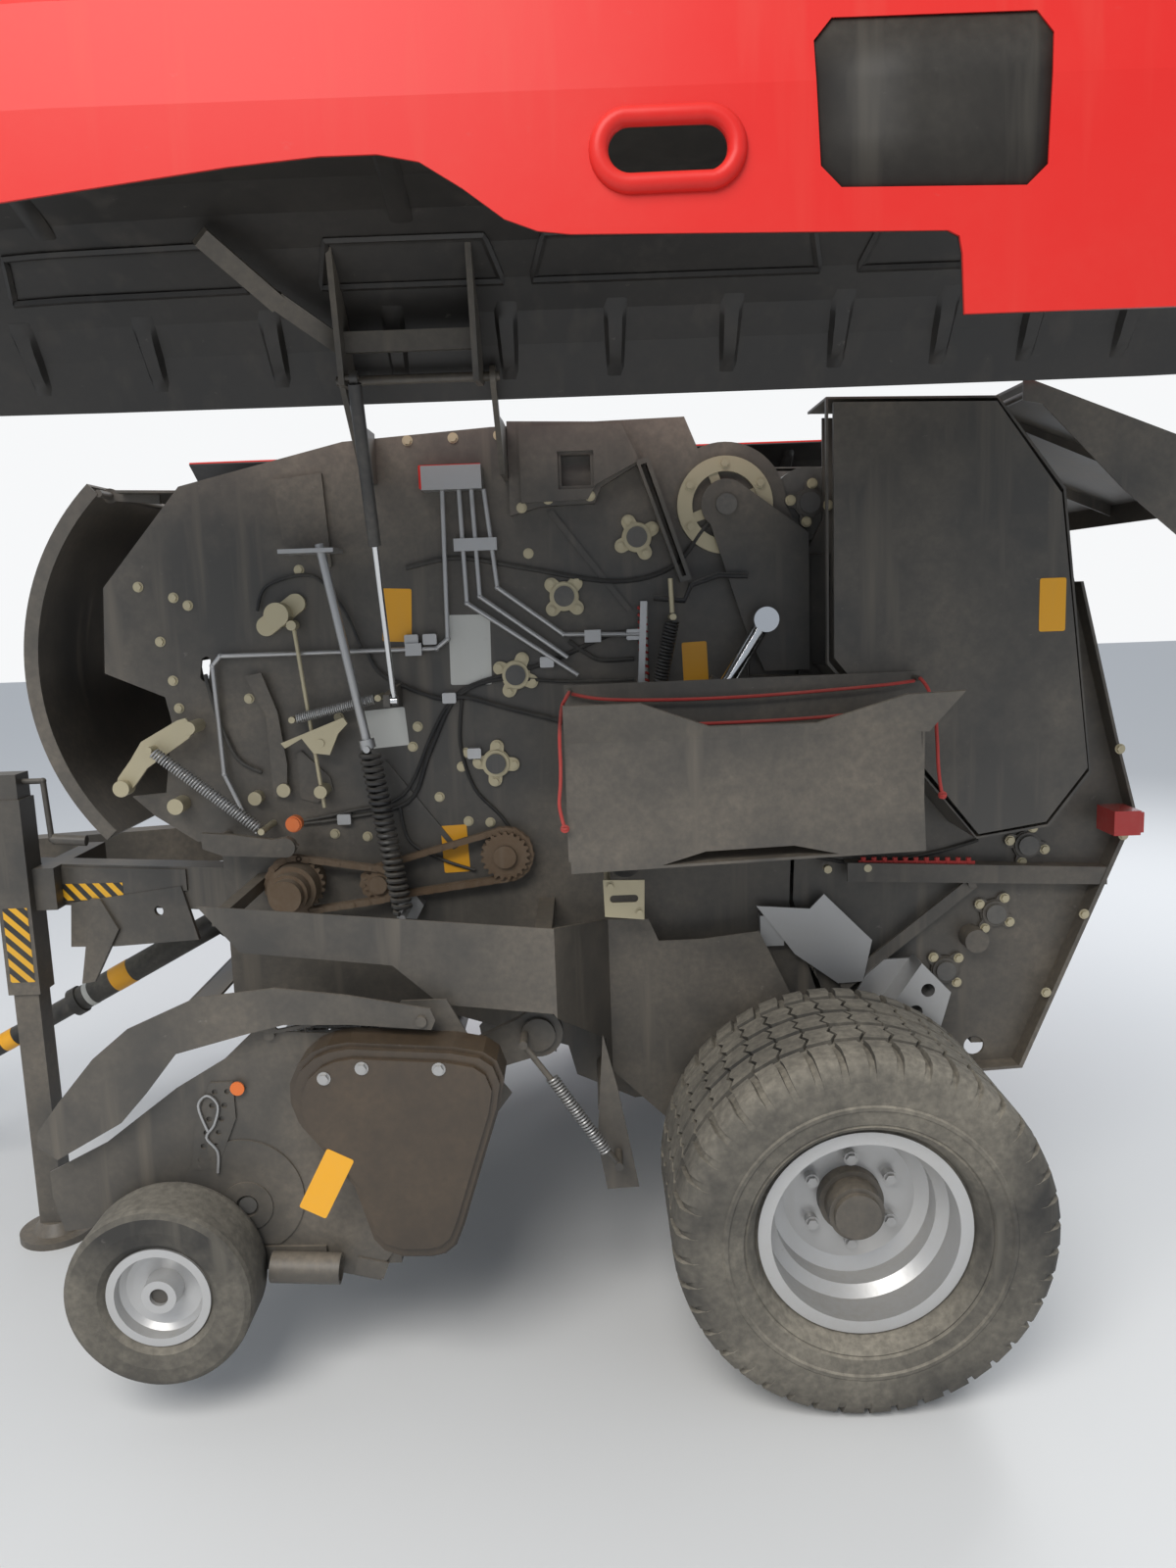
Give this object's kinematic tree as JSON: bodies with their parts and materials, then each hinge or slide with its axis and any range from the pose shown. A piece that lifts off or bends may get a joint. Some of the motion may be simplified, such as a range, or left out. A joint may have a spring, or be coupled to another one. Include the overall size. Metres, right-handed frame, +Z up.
{
  "type": "round baler",
  "caption": "Towed round baler with a fixed roller chamber on two wide tyres, left hood raised over the drive side, dark grey frame, red hoods and a tined pickup.",
  "frame": {"origin": "centre of the tow eye at the front of the drawbar", "axes": "+X to the rear, +Y to the machine's right, +Z up"},
  "size_m": [4.487, 3.3989, 2.6111],
  "materials": {
    "frame_paint": "satin, dusty",
    "roller_steel": "worn",
    "zinc_cream": "satin",
    "bare_steel": "brushed",
    "rusty_steel": "rusty",
    "gear_paint": "satin",
    "shaft_plastic": "matte",
    "lamp_red": "glossy",
    "cylinder_paint": "satin",
    "rod_chrome": "polished",
    "hood_red": "glossy, dusty",
    "cord_red": "matte, woven",
    "liner_black": "matte",
    "tyre_rubber": "matte",
    "rim_silver": "satin"
  },
  "bodies": {
    "chassis": {"side_plates": "frame_paint", "front_rollers": "roller_steel", "bearing_plates": "zinc_cream", "cross_members": "frame_paint", "axle": "frame_paint", "drawbar": "frame_paint", "tow_eye": "bare_steel", "parking_jack": "frame_paint", "gearbox": "gear_paint", "pto_shaft": "shaft_plastic", "chain_drive": "rusty_steel", "net_box": "frame_paint", "wrap_levers": "zinc_cream", "coil_springs": "bare_steel", "tension_rod": "bare_steel", "hydraulic_pipes": "bare_steel", "roll_tray": "frame_paint", "side_skirts": "frame_paint", "wheel_chock": "bare_steel", "hood_brackets": "frame_paint", "cord_top": "cord_red", "cord_front": "cord_red", "cord_left": "cord_red", "cord_right": "cord_red"},
    "tailgate": {"tailgate_sides": "frame_paint", "tailgate_covers": "frame_paint", "tailgate_rollers": "roller_steel", "tailgate_beams": "frame_paint", "tail_lamps": "lamp_red"},
    "hatch": {"rear_hatch": "frame_paint"},
    "cover": {"front_cover": "frame_paint"},
    "rotor": {"feed_rotor": "roller_steel"},
    "lift_barrel_left": {"lift_barrel_left": "cylinder_paint"},
    "lift_rod_left": {"lift_rod_left": "rod_chrome"},
    "hood_left": {"hood_left": "hood_red", "hood_liner_left": "liner_black", "hood_arms_left": "frame_paint"},
    "strut_barrel_left": {"strut_barrel_left": "cylinder_paint"},
    "strut_rod_left": {"strut_rod_left": "rod_chrome"},
    "gauge_wheel_left": {"gauge_tyre_left": "tyre_rubber", "gauge_rim_left": "rim_silver"},
    "wheel_left": {"tyre_left": "tyre_rubber", "rim_left": "rim_silver"},
    "lift_barrel_right": {"lift_barrel_right": "cylinder_paint"},
    "lift_rod_right": {"lift_rod_right": "rod_chrome"},
    "hood_right": {"hood_right": "hood_red", "hood_liner_right": "liner_black", "hood_arms_right": "frame_paint"},
    "strut_barrel_right": {"strut_barrel_right": "cylinder_paint"},
    "strut_rod_right": {"strut_rod_right": "rod_chrome"},
    "gauge_wheel_right": {"gauge_tyre_right": "tyre_rubber", "gauge_rim_right": "rim_silver"},
    "wheel_right": {"tyre_right": "tyre_rubber", "rim_right": "rim_silver"},
    "pickup": {"pickup_sides": "frame_paint", "pickup_frame": "frame_paint", "stripper_bands": "bare_steel", "drive_guard": "rusty_steel"},
    "reel": {"pickup_reel": "roller_steel"},
    "wind": {"windguard": "frame_paint"}
  },
  "joints": [
    {"name": "tailgate_lift", "type": "hinge", "parent": "chassis", "child": "tailgate", "pos_m": [3.21162, 0, 1.44318], "axis": [0, -1, 0], "range_deg": [0, 65]},
    {"name": "hatch_close", "type": "hinge", "parent": "tailgate", "child": "hatch", "pos_m": [3.86, 0, 1.645], "axis": [0, 1, 0], "range_deg": [0, 20]},
    {"name": "cover_open", "type": "hinge", "parent": "chassis", "child": "cover", "pos_m": [1.698, 0, 1.524], "axis": [0, 1, 0], "range_deg": [0, 15]},
    {"name": "rotor_spin", "type": "hinge", "parent": "chassis", "child": "rotor", "pos_m": [2.717, 0, 0.219], "axis": [0, 1, 0], "continuous": true},
    {"name": "hood_left_close", "type": "hinge", "parent": "chassis", "child": "hood_left", "pos_m": [2.42, -0.93, 1.706], "axis": [1, 0, 0], "range_deg": [0, 83]},
    {"name": "hood_right_open", "type": "hinge", "parent": "chassis", "child": "hood_right", "pos_m": [2.42, 0.93, 1.706], "axis": [1, 0, 0], "range_deg": [0, 83]},
    {"name": "lift_barrel_left_turn", "type": "hinge", "parent": "chassis", "child": "lift_barrel_left", "pos_m": [2.94, -0.688, 0.59], "axis": [0, -1, 0], "range_deg": [-60, 60]},
    {"name": "lift_rod_left_slide", "type": "slide", "parent": "lift_barrel_left", "child": "lift_rod_left", "axis": [0.524, 0, 0.8517], "range_m": [-0.05, 0.3673]},
    {"name": "lift_barrel_right_turn", "type": "hinge", "parent": "chassis", "child": "lift_barrel_right", "pos_m": [2.94, 0.688, 0.59], "axis": [0, -1, 0], "range_deg": [-60, 60]},
    {"name": "lift_rod_right_slide", "type": "slide", "parent": "lift_barrel_right", "child": "lift_rod_right", "axis": [0.524, 0, 0.8517], "range_m": [-0.05, 0.3673]},
    {"name": "strut_barrel_left_turn", "type": "hinge", "parent": "hood_left", "child": "strut_barrel_left", "pos_m": [2.41, -1.04911, 1.69138], "axis": [1, 0, 0], "range_deg": [-120, 120]},
    {"name": "strut_rod_left_slide", "type": "slide", "parent": "strut_barrel_left", "child": "strut_rod_left", "axis": [0, 0.3564, -0.9344], "range_m": [-0.1663, 0.03]},
    {"name": "strut_barrel_right_turn", "type": "hinge", "parent": "hood_right", "child": "strut_barrel_right", "pos_m": [2.41, 0.93, 1.586], "axis": [1, 0, 0], "range_deg": [-120, 120]},
    {"name": "strut_rod_right_slide", "type": "slide", "parent": "strut_barrel_right", "child": "strut_rod_right", "axis": [0, -0.237, -0.9715], "range_m": [-0.03, 0.1663]},
    {"name": "pickup_lower", "type": "hinge", "parent": "chassis", "child": "pickup", "pos_m": [2.717, 0, 0.219], "axis": [0, -1, 0], "range_deg": [0, 8]},
    {"name": "reel_spin", "type": "hinge", "parent": "pickup", "child": "reel", "pos_m": [2.048, 0, -0.105], "axis": [0, 1, 0], "continuous": true},
    {"name": "windguard_lift", "type": "hinge", "parent": "pickup", "child": "wind", "pos_m": [2.475, 0, 0.336], "axis": [0, 1, 0], "range_deg": [0, 6]},
    {"name": "gauge_wheel_left_roll", "type": "hinge", "parent": "pickup", "child": "gauge_wheel_left", "pos_m": [1.885, -1.128, -0.233], "axis": [0, 1, 0], "continuous": true},
    {"name": "wheel_left_roll", "type": "hinge", "parent": "chassis", "child": "wheel_left", "pos_m": [3.42, -0.9925, -0.142], "axis": [0, 1, 0], "continuous": true},
    {"name": "gauge_wheel_right_roll", "type": "hinge", "parent": "pickup", "child": "gauge_wheel_right", "pos_m": [1.885, 1.128, -0.233], "axis": [0, 1, 0], "continuous": true},
    {"name": "wheel_right_roll", "type": "hinge", "parent": "chassis", "child": "wheel_right", "pos_m": [3.42, 0.9925, -0.142], "axis": [0, 1, 0], "continuous": true}
  ],
  "couplings": [
    {"joint": "lift_barrel_left_turn", "follows": "tailgate_lift", "ratio": -0.0439},
    {"joint": "lift_rod_left_slide", "follows": "tailgate_lift", "m_per_rad": 0.2709},
    {"joint": "lift_barrel_right_turn", "follows": "tailgate_lift", "ratio": -0.0439},
    {"joint": "lift_rod_right_slide", "follows": "tailgate_lift", "m_per_rad": 0.2709},
    {"joint": "strut_barrel_left_turn", "follows": "hood_left_close", "ratio": -1.0864},
    {"joint": "strut_rod_left_slide", "follows": "hood_left_close", "m_per_rad": -0.09408},
    {"joint": "strut_barrel_right_turn", "follows": "hood_right_open", "ratio": -1.0864},
    {"joint": "strut_rod_right_slide", "follows": "hood_right_open", "m_per_rad": 0.09408}
  ]
}
